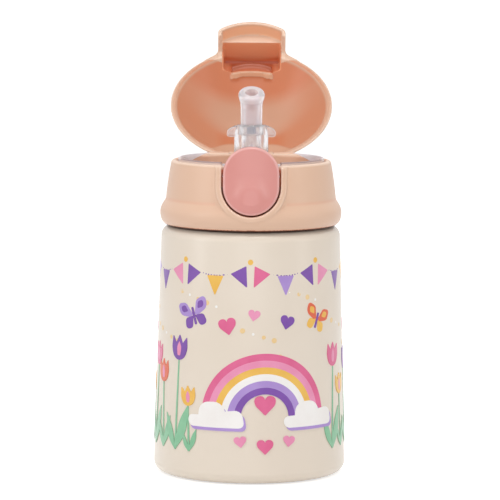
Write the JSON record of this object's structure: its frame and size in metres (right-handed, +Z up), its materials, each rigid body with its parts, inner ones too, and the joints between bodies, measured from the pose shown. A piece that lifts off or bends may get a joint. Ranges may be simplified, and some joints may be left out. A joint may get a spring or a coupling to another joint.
{
  "type": "kids straw bottle",
  "caption": "Short tapered vacuum bottle for a child, with a screw-on lid, a rocker button that frees a sprung domed cover, and a soft mouthpiece that folds under it.",
  "frame": {"origin": "centre of the flat pad under the bottle", "axes": "+Z up along the bottle, -Y towards the push button, +X to the right of someone facing the button"},
  "size_m": [0.0764, 0.1313, 0.1781],
  "materials": {
    "cream_paint": "satin cream enamel, printed",
    "bare_steel": "brushed",
    "getter_grey": "dull",
    "pad_silicone": "matte",
    "peach_plastic": "fine satin moulding",
    "pink_plastic": "fine satin moulding",
    "milky_silicone": "translucent, smooth",
    "clear_plastic": "clear",
    "straw_plastic": "translucent",
    "spring_steel": "drawn wire"
  },
  "bodies": {
    "bottle": {"outer_shell": "cream_paint", "inner_liner": "bare_steel", "base_pan": "bare_steel", "vacuum_getter": "getter_grey", "base_pad": "pad_silicone"},
    "seal_ring": {"lid_seal": "milky_silicone"},
    "lid": {"lid_collar": "peach_plastic", "lid_core": "peach_plastic", "rim_seal": "milky_silicone", "spout_base": "clear_plastic", "spout_seal": "milky_silicone", "straw_sleeve": "milky_silicone", "drinking_straw": "straw_plastic", "vent_valve": "milky_silicone", "hinge_pin": "bare_steel", "hinge_spring": "spring_steel", "button_pin": "bare_steel", "button_spring": "spring_steel"},
    "cover": {"flip_cover": "peach_plastic"},
    "button": {"push_button": "pink_plastic"},
    "tip": {"mouthpiece": "milky_silicone"}
  },
  "joints": [
    {"name": "lid_lift", "type": "slide", "parent": "bottle", "child": "seal_ring", "axis": [0, 0, 1], "range_m": [0, 0.13]},
    {"name": "lid_turn", "type": "hinge", "parent": "seal_ring", "child": "lid", "pos_m": [0, 0, 0.1], "axis": [0, 0, 1], "range_deg": [0, 450]},
    {"name": "cover_hinge", "type": "hinge", "parent": "lid", "child": "cover", "pos_m": [0, 0.032, 0.1251], "axis": [1, 0, 0], "range_deg": [0, 140], "stiffness_Nm_per_rad": 0.012, "springref_deg": -22.92, "deforming": ["hinge_spring"]},
    {"name": "button_press", "type": "hinge", "parent": "lid", "child": "button", "pos_m": [0, -0.029, 0.1218], "axis": [1, 0, 0], "range_deg": [0, 4.5], "stiffness_Nm_per_rad": 0.05, "springref_deg": -2.86, "deforming": ["button_spring"]},
    {"name": "mouthpiece_bend", "type": "hinge", "parent": "lid", "child": "tip", "pos_m": [0, 0, 0.141], "axis": [1, 0, 0], "range_deg": [0, 100], "deforming": ["mouthpiece"]}
  ],
  "couplings": [
    {"joint": "mouthpiece_bend", "follows": "cover_hinge", "ratio": 0.7}
  ]
}
